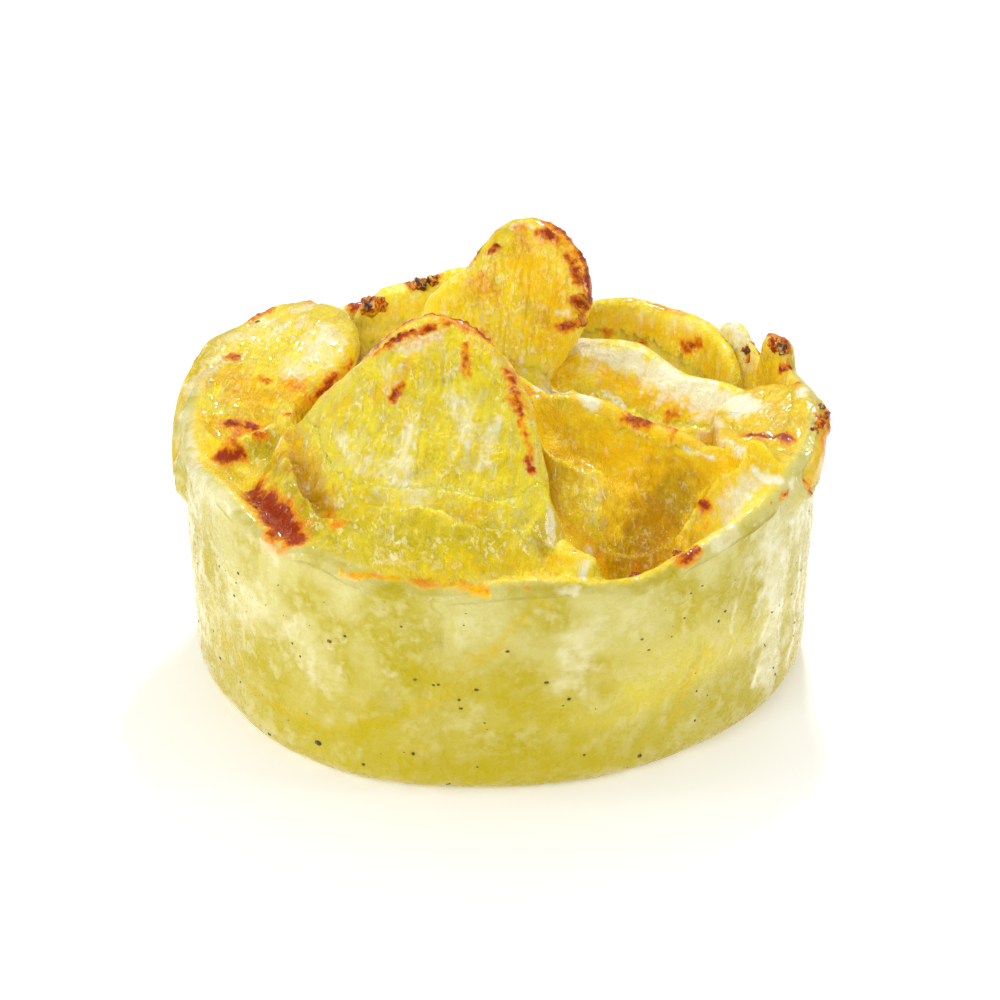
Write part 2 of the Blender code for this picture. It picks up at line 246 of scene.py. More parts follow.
# Where the wall's cream begins: distance from the axis, and depth below the crest
DRUM_WALL_FROM = (36.3, 38.0)
SLICE_WALL_FROM = (37.0, 38.9)
BELOW_CREST = (12.0, 20.0)

# The slices' meshes: the flat face's share of the way out, the rows of edge and back, the ragged
# outline, and the size and height of the finer unevenness
FACE_SHARE = 0.84
EDGE_ROWS = 12
BACK_SHARE = 0.4
RAGGED = 0.22
RAGGED_SIZE = 1.6
RAGGED_DEPTH = 1.5
RAGGED_FADE = 6
SLICE_LUMPS = (2.4, 0.34)
SLICE_GRAIN = (0.5, 0.10)
FIBRE_WIDTH = 0.55
FIBRE_LENGTH = 2.6
FIBRE_HEIGHT = 0.16
SHIFTS = (7.3, 3.1, 1.7)

# Browned edge lines: where they lie on the way out, their level and breaks, how soft their ends are in
# degrees, and where browned and charred parts lie between the back (-1) and the front (1)
LINE_SPAN = (FACE_SHARE + 0.03, 0.999)
LINE_LEVEL = 0.78
LINE_BREAKS = 0.5
LINE_BREAK_SIZE = 1.8
LINE_ENDS = (6, 4)
BROWN_BAND = ((-0.5, 0.1), (0.55, 1.0))
CHAR_BAND = ((-0.1, 0.2), (0.3, 0.55))
CHAR_LESS = 0.35

# The marks' outlines: how far they are felt, how rough and how soft they are, both in radii, and the
# size and reach of the noise that makes them wander
MARK_BOX = 3
MARK_ROUGHNESS = 0.5
MARK_EDGE = 1.9
MARK_NOISE = ((1, 1.3, 5), (0.6, 0.5, 9))
WANDER_SEEDS = (11.0, 23.0, 37.0)
WANDERS = ((3.5, 0.9), (0.9, 0.35))

# Browned places stand up a little, in small bubbles, but not under the foot
BROWN_FROM = (0.3, 0.9)
BROWN_LIFT = 0.22
BUBBLE_LEVEL = 0.6
BUBBLE_SWING = 1.4
BUBBLE_SIZE = 0.55
LEAST_LIFT = 0.002
FOOT_KEPT = 1

# Colours in linear light
CREAM = (0.64, 0.575, 0.19, 1)
CREAM_SHADE = (0.485, 0.39, 0.006, 1)
CREAM_PALE = (0.92, 0.88, 0.52, 1)
POTATO = (0.95, 0.79, 0.055, 1)
POTATO_SHADE = (0.93, 0.69, 0.008, 1)
POTATO_PALE = (0.98, 0.91, 0.32, 1)
DEEP_YELLOW = (0.95, 0.56, 0.001, 1)
# The olive and the ochre are painted shade: low on the wall, in hollows, in the pit and on the lower front
OLIVE_PAINTED_SHADE = (0.53, 0.42, 0.004, 1)
OCHRE_PAINTED_SHADE = (0.50, 0.25, 0.001, 1)
ORANGE = (0.85, 0.30, 0.008, 1)
BROWN_RED = (0.36, 0.032, 0.003, 1)
CHARRED = (0.05, 0.012, 0.005, 1)
# The last colour is pale curd, and painted highlights along ridges and edges
CURD_AND_HIGHLIGHT = (0.97, 0.94, 0.70, 1)

# Pepper and herb specks: how many at random on the wall, their radii, and the largest ones by place
SPECKS = 190
SPECK_RADII = (0.07, 0.19)
SPECK_HEIGHTS = (1.2, 26.5)
LARGE_SPECKS = (
    (-33, 4.4, 0.34), (-15, 5.7, 0.26), (-24, 3.2, 0.24), (26, 3.0, 0.28), (8, 15.2, 0.24),
    (-45, 2.4, 0.24), (-52, 22.0, 0.22), (-30, 18.5, 0.24), (12, 12.8, 0.22), (42, 18.0, 0.22),
    (-27, 19.6, 0.2), (-7, 13.2, 0.22), (-4, 14.6, 0.2), (62, 5.0, 0.2), (38, 5.4, 0.2),
    (96, 16.0, 0.26), (121, 8.0, 0.3), (149, 21.0, 0.24), (172, 9.0, 0.28), (-168, 17.0, 0.24),
    (-141, 6.0, 0.28), (-120, 20.0, 0.24), (-96, 12.0, 0.28), (-78, 7.0, 0.22),
)
SPECK_FLATNESS = 0.5
SPECK_UNEVENNESS = 0.3
SPECK_LENGTHS = (0.8, 1.7)

# Specks come in clumps: the ring that their noise is read on, its lumps, and the chance added
CLUMP_RING = 10
CLUMP_SIZE = 4
CLUMP_CHANCES = (-0.3, 0.5)

# The camera, matched to the photo's viewing angle, and the stage, in metres
CAMERA_ELEVATION = 26.6
CAMERA_LENS = 125
CAMERA_SENSOR = 36
CAMERA_AWAY = 0.425
LOOK_AT = (0, 0, 0.0196)
FLOOR_REACH = 4
FLOOR_COLOUR = (0.92, 0.92, 0.91, 1)
FLOOR_GLOW = 0.28
WORLD_STRENGTH = 0.32

# Lights: name, place, watts, and size
LIGHTS = (
    ("overhead", (0.0, 0.12, 0.5), 0.4, (0.3, 0.3)),
    ("front_fill", (-0.24, -0.56, 0.34), 2.3, (0.5, 0.4)),
    ("left_edge", (-0.5, -0.05, 0.16), 0.7, (0.15, 0.3)),
    ("right_edge", (0.5, -0.1, 0.16), 0.7, (0.1, 0.35)),
    ("sparkle", (0.04, 0.26, 0.36), 1.05, (0.05, 0.05)),
)

# Marks of browning and colour, with painted shade and painted highlights among them: strength in
# hundredths, then in tenths of a millimetre the radius and x, y and z of each point on the line that the
# mark follows
MARKS = {
    "brown": (
        (85, 3, -257, 5, 310, -241, 35, 305), (92, 9, -230, 54, 309, -202, 89, 319),
        (60, 6, -249, 24, 309, -221, 66, 316), (80, 4, -195, 105, 327, -183, 125, 326, -143, -110, 445),
        (100, 5, -153, -110, 437, -143, -110, 445, -117, -107, 463, -96, -105, 472, -68, -105, 477),
        (62, 7, -72, -102, 480, -52, -102, 475, -44, -114, 469), (70, 7, -42, -128, 460, -37, -155, 436),
        (85, 5, -122, -162, 411, -112, -153, 422), (40, 5, -78, -126, 457),
        (96, 5, 22, -180, 409, 31, -206, 389, 39, -236, 356), (75, 9, 14, -152, 432, 20, -178, 411),
        (75, 6, -335, 127, 331, -326, 128, 330), (62, 7, -295, 85, 323, -285, 80, 324),
        (60, 7, -259, 63, 321, -250, 59, 321), (90, 9, -325, 5, 300, -315, 2, 299),
        (90, 8, -303, 1, 299, -287, -54, 312), (55, 15, -315, 0, 298, -324, -70, 311),
        (100, 9, -335, -79, 298, -324, -86, 291, -310, -81, 295), (50, 4, -346, -113, 296),
        (100, 18, -283, -169, 294, -268, -217, 289, -247, -263, 287),
        (100, 16, -264, -205, 299, -246, -247, 291, -230, -281, 288),
        (65, 7, -199, -252, 302, -181, -294, 314),
        (32, 5, -169, -344, 275, -112, -355, 273, -66, -362, 272, -17, -378, 273),
        (40, 4, -107, -351, 275, -67, -357, 274), (55, 4, 31, -379, 276),
        (85, 3, 86, -323, 293, 103, -228, 251), (80, 5, 160, -230, 219),
        (85, 7, 202, -316, 275, 224, -295, 284), (100, 8, 229, -196, 288, 235, -198, 285),
        (90, 4, 238, -210, 266), (80, 10, 152, -80, 348, 175, -85, 343),
        (75, 9, 207, 26, 294, 210, -99, 336), (100, 10, 296, -66, 315, 318, -82, 321, 341, -93, 323),
        (60, 3, 333, -53, 323), (85, 3, 316, -211, 297, 336, -183, 298),
        (80, 3, 352, -163, 301, 365, -150, 276), (66, 7, 137, 297, 294, 144, 293, 293),
        (70, 7, 175, 281, 284, 187, 272, 282), (78, 7, 236, 235, 297, 251, 225, 309),
        (88, 4, 313, 190, 323, 327, 184, 309), (85, 5, 351, 137, 353, 354, 126, 351),
        (95, 4, 344, 108, 318, 348, 105, 323), (85, 4, 358, 107, 327), (60, 5, 362, 46, 334),
        (85, 4, 377, -6, 337, 380, -29, 331, 380, -50, 328), (62, 4, 374, -72, 328),
        (96, 6, 48, 152, 490, 65, 144, 481, 77, 138, 469, 91, 131, 456),
        (92, 7, 94, 127, 449, 103, 125, 435), (92, 9, 95, 109, 412, 105, 112, 401),
        (72, 7, 76, 93, 386, 88, 96, 390), (45, 7, 17, 160, 488, 32, 158, 491),
        (36, 15, 67, 146, 482, 96, 135, 455, 108, 122, 423, 102, 108, 396),
        (26, 12, 18, 156, 483, 49, 147, 482, 76, 135, 465), (26, 15, -27, 137, 423, -10, 125, 408),
        (24, 17, -122, -110, 459, -81, -110, 469), (24, 15, -191, 105, 323, -199, -106, 393),
        (30, 17, -325, 4, 300, -302, -9, 295), (30, 15, -327, -83, 294),
        (24, 15, 23, -154, 422, 35, -178, 401), (85, 4, -7, 155, 469, -15, 152, 461),
        (75, 3, -32, 159, 446, -42, 160, 435), (95, 10, -191, 315, 319, -180, 320, 319),
        (85, 7, -118, 291, 358, -97, 302, 359, -79, 306, 365), (60, 10, -20, 220, 270, 20, 240, 268),
        (80, 9, 60, 335, 276, 100, 345, 302), (75, 10, -240, 260, 348, -210, 290, 305),
        (55, 12, 0, -40, 377, 40, -20, 348), (75, 10, -140, 50, 328, -120, 90, 313),
        (70, 9, 150, 170, 263, 180, 190, 256), (85, 7, -120, 362, 311, -70, 372, 310),
        (85, 7, 150, 348, 308, 190, 330, 307), (75, 7, -310, 210, 346, -290, 240, 347),
        (60, 15, -60, 80, 347, -30, 100, 361), (30, 27, 20, 260, 269, 80, 290, 271),
        (30, 24, -80, 40, 367, 0, 60, 344),
    ),
    "char": (
        (48, 5, -285, -166, 292, -271, -209, 293), (45, 5, -258, -228, 290, -238, -268, 287),
        (42, 4, -259, -210, 301, -245, -236, 299),
        (80, 2, -143, -105, 447, -117, -104, 464, -95, -101, 473), (55, 4, 296, -66, 315, 308, -89, 324),
        (60, 4, 331, -93, 326), (80, 4, 344, 106, 317), (80, 3, 358, 125, 349), (75, 3, 381, -20, 334),
        (80, 3, -299, 200, 345), (60, 2, -215, 244, 349), (70, 4, -193, 319, 320), (65, 4, -183, 321, 320),
        (80, 4, -81, 305, 363), (75, 3, -6, 156, 471), (70, 2, 232, -198, 285), (80, 3, 239, -211, 266),
        (50, 4, -332, -81, 296),
    ),
    # Deep yellow: the food's own colour, and painted shade and bounce light in the valley and the pit
    "deep": (
        (90, 7, -174, -342, 275, -112, -355, 273, -66, -363, 271, -17, -379, 272),
        (98, 29, -255, -85, 328, -232, -183, 327, -207, -237, 308),
        (60, 15, -310, -105, 275, -326, -102, 280),
        (70, 16, -107, -130, 446, -118, -149, 426, -133, -159, 411),
        (75, 10, -23, -127, 460, 6, -134, 442, 23, -145, 424), (60, 17, -20, -280, 326, -34, -292, 317),
        (60, 12, -174, -145, 398, -210, -145, 373), (100, 34, -338, 88, 320, -299, 39, 310, -263, 56, 318),
        (80, 29, -345, 2, 297, -317, -7, 294, -288, 7, 304), (40, 17, -178, 252, 329, -128, 270, 335),
        (80, 32, 25, 141, 455, 61, 119, 424, 55, 99, 393), (60, 17, 73, 83, 366, 55, 95, 388),
        (55, 17, -37, 135, 411, 0, 144, 447), (85, 41, 118, -95, 336, 177, -113, 318, 223, -145, 295),
        (100, 37, 170, -157, 274, 193, -186, 250, 174, -229, 226),
        (50, 17, 142, 297, 303, 205, 267, 300, 259, 212, 306),
        (80, 20, 123, 99, 326, 172, 65, 314, 243, 27, 305), (70, 22, 331, -7, 328, 311, -51, 322),
        (75, 10, 57, -315, 283, 81, -334, 288), (60, 4, 47, -129, 339, 51, -257, 338),
        (70, 15, 320, 171, 306, 334, 29, 331), (50, 17, -67, -353, 278, 23, -333, 287),
        (45, 9, -328, -189, 114, -308, -225, 98, -285, -259, 74, -246, -300, 66, -201, -332, 64, -155,
         -356, 83, -114, -368, 104),
        (35, 10, -114, -368, 104, -62, -377, 139, -28, -381, 185, 8, -383, 212, 45, -381, 256),
        (45, 9, 243, -285, 148, 222, -300, 121, 204, -309, 72), (30, 7, -164, -348, 108),
        (40, 6, -120, -362, 122), (40, 6, -83, -370, 140), (30, 6, -56, -376, 207), (30, 7, 29, -371, 71),
    ),
    # Pale cream and curd, and painted highlights and sheen on ridges, edges, the tooth and the wall's sides
    "pale": (
        (50, 20, -384, 21, 301, -382, -35, 294, -371, -89, 287, -344, -172, 299, -314, -220, 296),
        (46, 16, -380, 66, 316, -356, 118, 328, -325, 167, 341),
        (42, 16, -322, -211, 295, -293, -250, 283, -256, -290, 270),
        (58, 16, -101, -194, 390, -114, -230, 356), (52, 17, -52, -171, 417, -34, -213, 380),
        (48, 13, -179, -189, 368, -158, -232, 344), (42, 15, -133, -136, 433, -115, -166, 408),
        (40, 17, 167, 293, 319, 241, 237, 319), (35, 17, 105, -165, 305, 116, -205, 273),
        (52, 34, -215, 168, 347, -225, 119, 337, -246, 97, 329), (44, 29, -306, 163, 338, -263, 190, 345),
        (60, 12, -289, 202, 345, -241, 243, 349, -206, 307, 319), (98, 9, -259, -128, 335),
        (70, 4, -288, -80, 288, -275, -127, 306), (70, 6, -328, -70, 311, -314, -74, 302),
        (55, 10, -376, -25, 303, -367, -76, 294, -345, -164, 304), (55, 11, -3, -193, 395, -23, -237, 359),
        (80, 6, 27, 76, 347, 32, 57, 342), (60, 15, -81, -113, 467, -116, -120, 451),
        (45, 27, -149, -220, 357, -91, -268, 330), (98, 15, 48, 8, 340, 74, 81, 301, 104, -67, 365),
        (95, 16, 97, 144, 343, 130, 116, 342, 172, 88, 336),
        (100, 22, 190, 75, 331, 240, 45, 323, 295, -7, 324),
        (70, 9, 189, 47, 306, 198, 57, 321, 211, 81, 337), (85, 5, 130, 75, 304, 150, 55, 295),
        (75, 9, 243, 17, 299, 264, -35, 314), (80, 5, 221, -120, 319, 249, -129, 317),
        (95, 7, 272, -80, 316, 279, -143, 323, 299, -164, 315, 338, -179, 303), (60, 5, 313, -161, 321),
        (98, 7, 58, -270, 321, 56, -293, 288), (80, 7, 102, -233, 244, 100, -334, 281, 93, -346, 271),
        (60, 7, 84, -368, 272, 63, -376, 272), (90, 12, 293, 208, 340, 295, 194, 331),
        (85, 9, 371, 22, 337, 362, -2, 334), (70, 5, 69, 102, 397, 81, 103, 398),
        (80, 4, 10, 162, 487, 28, 163, 493, 50, 155, 493),
        (60, 4, 76, 143, 474, 100, 132, 449, 110, 124, 422),
        (42, 44, -303, -237, 185, -234, -309, 184, -206, -330, 156), (45, 32, 97, -368, 210, 79, -370, 153),
        (55, 44, 311, -219, 241, 328, -190, 159, 322, -192, 66),
        (70, 5, 296, -223, 56, 313, -205, 114, 323, -200, 191),
        (85, 6, 348, -136, 48, 355, -123, 110, 358, -128, 180), (50, 5, 268, -261, 131, 272, -263, 198),
        (60, 6, 340, -174, 257, 354, -145, 249), (62, 20, 253, -280, 285, 267, -197, 288, 289, -179, 307),
        (50, 15, 242, -12, 297, 269, -104, 319), (75, 2, -206, -250, 302, -175, -313, 296, -167, -337, 281),
        (55, 29, -60, 10, 387, -20, 50, 358), (55, 22, 50, 190, 272, 90, 210, 264),
        (60, 20, -180, 220, 277, -220, 180, 348), (55, 17, 120, 100, 324, 150, 120, 354),
        (50, 20, 220, 140, 250, 240, 120, 253), (55, 17, -30, 320, 370, 30, 330, 267),
    ),
    # Painted shade in the pit, the valley, the front slice's lower part, the dimples and low on the wall;
    # also the darker arcs of slices under the wall's cream
    "painted_shade_and_dim": (
        (75, 46, -170, -300, 315, -90, -331, 305, -11, -326, 321),
        (55, 22, -193, -292, 304, -169, -324, 289), (45, 41, -91, -259, 339, -34, -274, 333),
        (100, 29, -273, -60, 293, -230, -221, 319, -207, -274, 308),
        (50, 15, -308, -106, 275, -323, -105, 278), (60, 24, 99, -186, 289, 116, -223, 256, 113, -332, 268),
        (90, 46, 163, -224, 230, 181, -181, 254, 202, -158, 278), (80, 17, 145, -231, 214, 168, -225, 231),
        (55, 17, 77, -108, 329, 70, -162, 316), (50, 29, 92, -115, 320, 95, -200, 283),
        (55, 12, -128, 266, 320, -178, 246, 322), (45, 15, -31, 131, 406, 0, 133, 425),
        (45, 17, 49, 100, 392, 25, 116, 412),
        (85, 12, -328, -190, 122, -308, -225, 91, -279, -266, 67, -238, -305, 60, -196, -335, 63, -149,
         -358, 83, -108, -368, 110),
        (50, 12, -108, -368, 110, -60, -378, 144, -23, -381, 183, 11, -383, 218, 39, -382, 263),
        (70, 37, -115, -368, 39, 0, -375, 31, 92, -362, 42),
        (72, 34, -79, -374, 155, 0, -380, 146, 57, -372, 108), (45, 24, 103, -359, 61, 162, -332, 38),
        (55, 10, 230, -295, 164, 217, -303, 115, 200, -312, 64), (30, 17, -227, -316, 259, -204, -331, 248),
        (50, 6, -164, -348, 108), (55, 5, -121, -362, 122), (55, 5, -83, -370, 137),
        (50, 5, -56, -376, 206), (55, 6, 29, -372, 68), (40, 5, 189, -324, 146),
        (55, 29, -30, 160, 448, 40, 170, 498), (50, 22, 120, 250, 264, 160, 240, 260),
        (45, 22, 40, 20, 342, 80, 40, 302),
    ),
}


def swell(distance, half_width):
    """A smooth hump: 1 at distance 0, falling to about a third at half_width."""
    return math.exp(-((distance / half_width) ** 2))


def smooth(value, low, high):
    """0 below low, 1 above high, and eased between them. It takes numbers and arrays."""
    t = np.clip((value - low) / (high - low), 0.0, 1.0)
    return t * t * (3 - 2 * t)


def turn_between(first, second):
    """The angle between two azimuths, in degrees, from 0 to 180."""
    return abs((first - second + 180) % 360 - 180)


def azimuth_of(x, y):
    return math.degrees(math.atan2(x, -y))


def toward(azimuth, distance):
    """The x and y at a distance from the axis."""
    angle = math.radians(azimuth)
    return distance * math.sin(angle), -distance * math.cos(angle)


def relief(point, size, height):
    return height * noise.noise(Vector(point) / size)


@functools.cache
def swells_at(azimuth, swells):
    """The sum of the swells at an azimuth."""
    return sum(h * swell(turn_between(azimuth, a), w) for a, w, h in swells)


def rim_height(azimuth):
    return WALL_HEIGHT + swells_at(round(azimuth, 2), RIM_SWELLS)


def wall_radius(azimuth, z):
    """The drum's outer radius: the mould's draft, with the foot's sags dying out towards the rim."""
    low = 1 - (1 - SAG_AT_RIM) * min(1.0, z / WALL_HEIGHT)
    return FOOT_RADIUS + DRAFT * z + low * swells_at(round(azimuth, 2), FOOT_SAGS)


def fill_height(x, y):
    """The height of the filling's own surface, inside the rim."""
    swells = (h * swell(math.hypot(x - cx, y - cy), w) for (cx, cy), w, h in FILL_SWELLS)
    away = math.hypot((x - TOOTH[0]) / TOOTH_WIDTHS[0], (y - TOOTH[1]) / TOOTH_WIDTHS[1])
    lean = 1 - TOOTH_LEAN + TOOTH_LEAN * max(-1.0, min(1.0, (x - TOOTH[0]) / TOOTH_WIDTHS[0]))
    return FILL_LEVEL + sum(swells) + TOOTH_HEIGHT * lean * (1 - smooth(away, *TOOTH_EDGE))


def top_place(x, y):
    """The top surface's height, and how far it has eased from the rim to the filling."""
    azimuth = azimuth_of(x, y)
    rim = rim_height(azimuth)
    inward = wall_radius(azimuth, rim) - math.hypot(x, y)
    if inward < RIM_ROUNDING:
        drop = 1 - math.sqrt(max(0.0, 1 - (1 - inward / RIM_ROUNDING) ** 2))
        rim -= RIM_ROUNDING * drop
    ease = float(smooth(inward, RIM_ROUNDING, RIM_ROUNDING + RIM_WIDTH))
    rough = relief((x, y, 0), RELIEF_SIZE, RELIEF_HEIGHT) * ease
    return rim + (fill_height(x, y) - rim) * ease + rough, ease


def turned(profile, steps):
    """A bmesh made by rolling a grid up about Z, so that its rows follow a profile of (radius, height)."""
    bm = bmesh.new()
    rows = len(profile) - 1
    bmesh.ops.create_grid(bm, x_segments=steps, y_segments=rows, size=0.5)
    for vert in bm.verts:
        angle = 2 * math.pi * (vert.co.x + 0.5)
        radius, height = profile[round((vert.co.y + 0.5) * rows)]
        vert.co = (radius * math.cos(angle), radius * math.sin(angle), height)
    bmesh.ops.remove_doubles(bm, verts=bm.verts, dist=DOUBLES)
    bmesh.ops.recalc_face_normals(bm, faces=bm.faces)
    return bm


def quarter_round(radius, rows):
    """Points of a quarter circle as (reach, rise), both from 0 to radius."""
    turns = [math.pi / 2 * k / rows for k in range(rows + 1)]
    return [(radius * math.sin(a), radius * (1 - math.cos(a))) for a in turns]


def drum_profile():
    """Foot, rounded lower edge, wall, crest and flat top, in their plain form."""
    flat = FOOT_RADIUS - FOOT_ROUNDING
    foot = [(flat * k / FOOT_ROWS, 0) for k in range(FOOT_ROWS)]
    edge = [(flat + out, up) for out, up in quarter_round(FOOT_ROUNDING, CREST_ROWS)]
    rise = WALL_HEIGHT - RIM_ROUNDING - FOOT_ROUNDING
    wall = [(FOOT_RADIUS, FOOT_ROUNDING + rise * k / WALL_ROWS) for k in range(1, WALL_ROWS)]
    crest = [(FOOT_RADIUS - up, WALL_HEIGHT) for _, up in quarter_round(RIM_ROUNDING, CREST_ROWS)]
    inner = FOOT_RADIUS - RIM_ROUNDING
    fine = [(inner - FINE_TOP_STEP * k, WALL_HEIGHT) for k in range(1, FINE_TOP_ROWS)]
    last = inner - FINE_TOP_STEP * FINE_TOP_ROWS
    plain = [(last * (1 - k / PLAIN_TOP_ROWS), WALL_HEIGHT) for k in range(PLAIN_TOP_ROWS + 1)]
    return foot + edge + wall + crest + fine + plain


def wall_detail(azimuth, z, radius):
    """How far dimples, folds and fine unevenness move the wall in or out."""
    moved = 0.0
    for a, height, size, depth in DIMPLES:
        turn = turn_between(azimuth, a)
        if turn < FELT_WITHIN:
            away = math.hypot(math.radians(turn) * radius, z - height)
            moved -= depth * swell(away, size)
    up = min(1.0, z / WALL_HEIGHT)
    for low, high, width, depth in FOLDS:
        turn = turn_between(azimuth, low + (high - low) * up)
        if turn < FELT_WITHIN:
            moved -= depth * swell(math.radians(turn) * radius, width) * math.sin(math.pi * up) ** 0.5
    x, y = toward(azimuth, radius)
    for size, height in WALL_LUMPS:
        moved += relief((x, y, z), size, height)
    return moved


def blend(gap):
    """How far the cream rises where a slice's surface lies a small gap above or below it."""
    if abs(gap) >= BLEND_GAP:
        return max(0.0, 1 - (gap - BLEND_GAP) / BLEND_GAP) * BLEND_GAP if gap > 0 else 0.0
    return max(gap, 0.0) + (BLEND_GAP - abs(gap)) ** 2 / (4 * BLEND_GAP)


def make_drum(slices_tree):
    """The drum of set cream: foot, wall, rim and the filling that climbs the slices."""
    bm = turned(drum_profile(), DRUM_STEPS)
    for vert in bm.verts:
        x, y, z = vert.co
        azimuth = azimuth_of(x, y)
        share = math.hypot(x, y) / FOOT_RADIUS
        if z == 0:
            vert.co = Vector((x, y, 0)) * wall_radius(azimuth, 0) / FOOT_RADIUS
            continue
        on_top = z > WALL_HEIGHT - DOUBLES
        height = rim_height(azimuth) if on_top else z * rim_height(azimuth) / WALL_HEIGHT
        radius = share * wall_radius(azimuth, height)
        radius += relief((x, y, z), RELIEF_SIZE, RELIEF_HEIGHT / 2) * share ** RELIEF_FADE
        if not on_top:
            low = min(1.0, height / FOOT_ROUNDING)
            radius += wall_detail(azimuth, height, radius) * low
            if height > rim_height(azimuth) - FLARE_DEPTH:
                _, _, _, away = slices_tree.find_nearest(Vector((*toward(azimuth, radius), height)))
                radius += FLARE * max(0.0, 1 - away / FLARE_REACH) ** 2
            vert.co = (*toward(azimuth, min(radius, MOULD_RADIUS)), height)
            continue
        fade = share ** CREST_FADE
        if fade > FAINT:
            radius += wall_detail(azimuth, height, radius) * fade
        x, y = toward(azimuth, radius)
        height, ease = top_place(x, y)
        detail = sum(relief((x, y, layer), size, rise) for layer, size, rise in TOP_LUMPS)
        height += detail * (RIM_DETAIL + (1 - RIM_DETAIL) * ease) * (1 - fade)
        _, _, _, away = slices_tree.find_nearest(Vector((x, y, height)))
        climb = BACK_CLIMB + (CLIMB - BACK_CLIMB) * (1 - smooth(y, *CLIMB_FADES))
        height += climb * max(0.0, 1 - away / climb) ** 2 * (RIM_CLIMB + (1 - RIM_CLIMB) * ease)
        above = slices_tree.ray_cast(Vector((x, y, OUTSIDE)), Vector((0, 0, -1)))[0]
        if above is not None:
            height += blend(above.z - height)
        vert.co = (x, y, height)
    return bm


def slice_frame(form):
    """The slice's place: local Z is the way its face looks, and local Y is up its face."""
    azimuth, elevation = (math.radians(a) for a in form.faces)
    level = math.cos(elevation)
    normal = Vector((math.sin(azimuth) * level, -math.cos(azimuth) * level, math.sin(elevation)))
    up = (Vector((0, 0, 1)) - normal * normal.z).normalized()
    turn = Matrix((up.cross(normal), up, normal)).transposed().to_4x4()
    return Matrix.Translation(Vector(form.middle)) @ turn


def reach_at(form, angle):
    """The outline's distance from the middle, on a smooth curve through the reaches."""
    reach = form.reach
    place = (angle / REACH_STEP) % len(reach)
    step = int(place)
    t = place - step
    a, b, c, d = (reach[(step + k) % len(reach)] for k in (-1, 0, 1, 2))
    curve = 2 * b + (c - a) * t
    curve += (2 * a - 5 * b + 4 * c - d) * t ** 2 + (3 * b - a - 3 * c + d) * t ** 3
    return curve / 2


def slice_point(form, share, angle, side):
    """The slice's own point at a share of the way out, on a side from -1 (back) to 1 (front)."""
    size = sum(form.reach) / len(form.reach)
    width = form.thickness / 2
    face = reach_at(form, angle) - width
    out = face * min(1.0, share / FACE_SHARE) + width * max(0.0, share - FACE_SHARE) / (1 - FACE_SHARE)
    x, y = out * math.cos(math.radians(angle)), out * math.sin(math.radians(angle))
    across, along = form.curl
    bend = across * (x / size) ** 2 + along * (y / size) ** 2
    bends = (depth * swell(turn_between(angle, a), w) for a, w, depth in form.bends)
    bend += sum(bends) * share ** 3
    return Vector((x, y, side * form.thickness / 2 + bend))


def pressed_to_mould(point, limit):
    """What would reach past the mould's wall is pushed back to it."""
    radius = math.hypot(point.x, point.y)
    if radius <= limit:
        return point
    return Vector((point.x * limit / radius, point.y * limit / radius, point.z))


def disc_profile(form):
    """The slice's section as (share of the way out, side), with a rounded edge."""
    rows = form.detail[1]
    back_rows = int(rows * BACK_SHARE)
    profile = [(FACE_SHARE * k / rows, 1) for k in range(rows)]
    turns = [math.pi * k / EDGE_ROWS for k in range(EDGE_ROWS + 1)]
    profile += [(FACE_SHARE + (1 - FACE_SHARE) * math.sin(a), math.cos(a)) for a in turns]
    return profile + [(FACE_SHARE * (1 - k / back_rows), -1) for k in range(1, back_rows + 1)]


def slice_detail(x, y, side, shift):
    """The fine unevenness of a cooked potato's cut face: soft lumps, fibres up the face and grain."""
    place = Vector((x, y, side)) + shift
    fibres = relief((place.x / FIBRE_WIDTH, place.y / FIBRE_LENGTH, side), 1.0, FIBRE_HEIGHT)
    return relief(place, *SLICE_LUMPS) + fibres + relief(place, *SLICE_GRAIN)


def make_slice(name, form):
    """A potato slice, pressed to the mould, and its vertices' share, angle, side and grain place."""
    bm = turned(disc_profile(form), form.detail[0])
    place_in_drum = slice_frame(form)
    x, y = form.middle[:2]
    shift = Vector((len(name) * SHIFTS[0], x * SHIFTS[1], y * SHIFTS[2]))
    own = []
    for vert in bm.verts:
        x, y, side = vert.co
        share, angle = math.hypot(x, y), math.degrees(math.atan2(y, x))
        local = slice_point(form, share, angle, side)
        local.z += relief(local, RELIEF_SIZE, RELIEF_HEIGHT)
        local.z += slice_detail(local.x, local.y, side, shift) * side
        ragged = RAGGED * noise.noise(Vector((local.x, local.y, side * RAGGED_DEPTH)) / RAGGED_SIZE + shift)
        outward = Vector((local.x, local.y, 0)).normalized() * ragged * share ** RAGGED_FADE
        vert.co = pressed_to_mould(place_in_drum @ (local + outward), MOULD_RADIUS)
        own.append((share, angle % 360, side, local.x + shift.x, local.y + shift.y, local.z))
    return bm, np.array(own)


def crumb(bm, place, radius, seed):
    """Adds a small uneven lump."""
    made = bmesh.ops.create_icosphere(bm, subdivisions=CRUMB_ROWS, radius=1)
    (knob_turns, knobs), (crease_turns, creases) = CRUMB_KNOBS, CRUMB_CREASES
    for vert in made["verts"]:
        lump = 1 + CRUMB_UNEVENNESS * noise.noise(vert.co + Vector((seed, 0, 0)))
        lump += knobs * noise.noise(vert.co * knob_turns + Vector((seed, 4, 0)))
        lump -= creases * abs(noise.noise(vert.co * crease_turns + Vector((seed, 9, 0))))
        vert.co = place + vert.co * (radius * lump)
    return made["verts"]


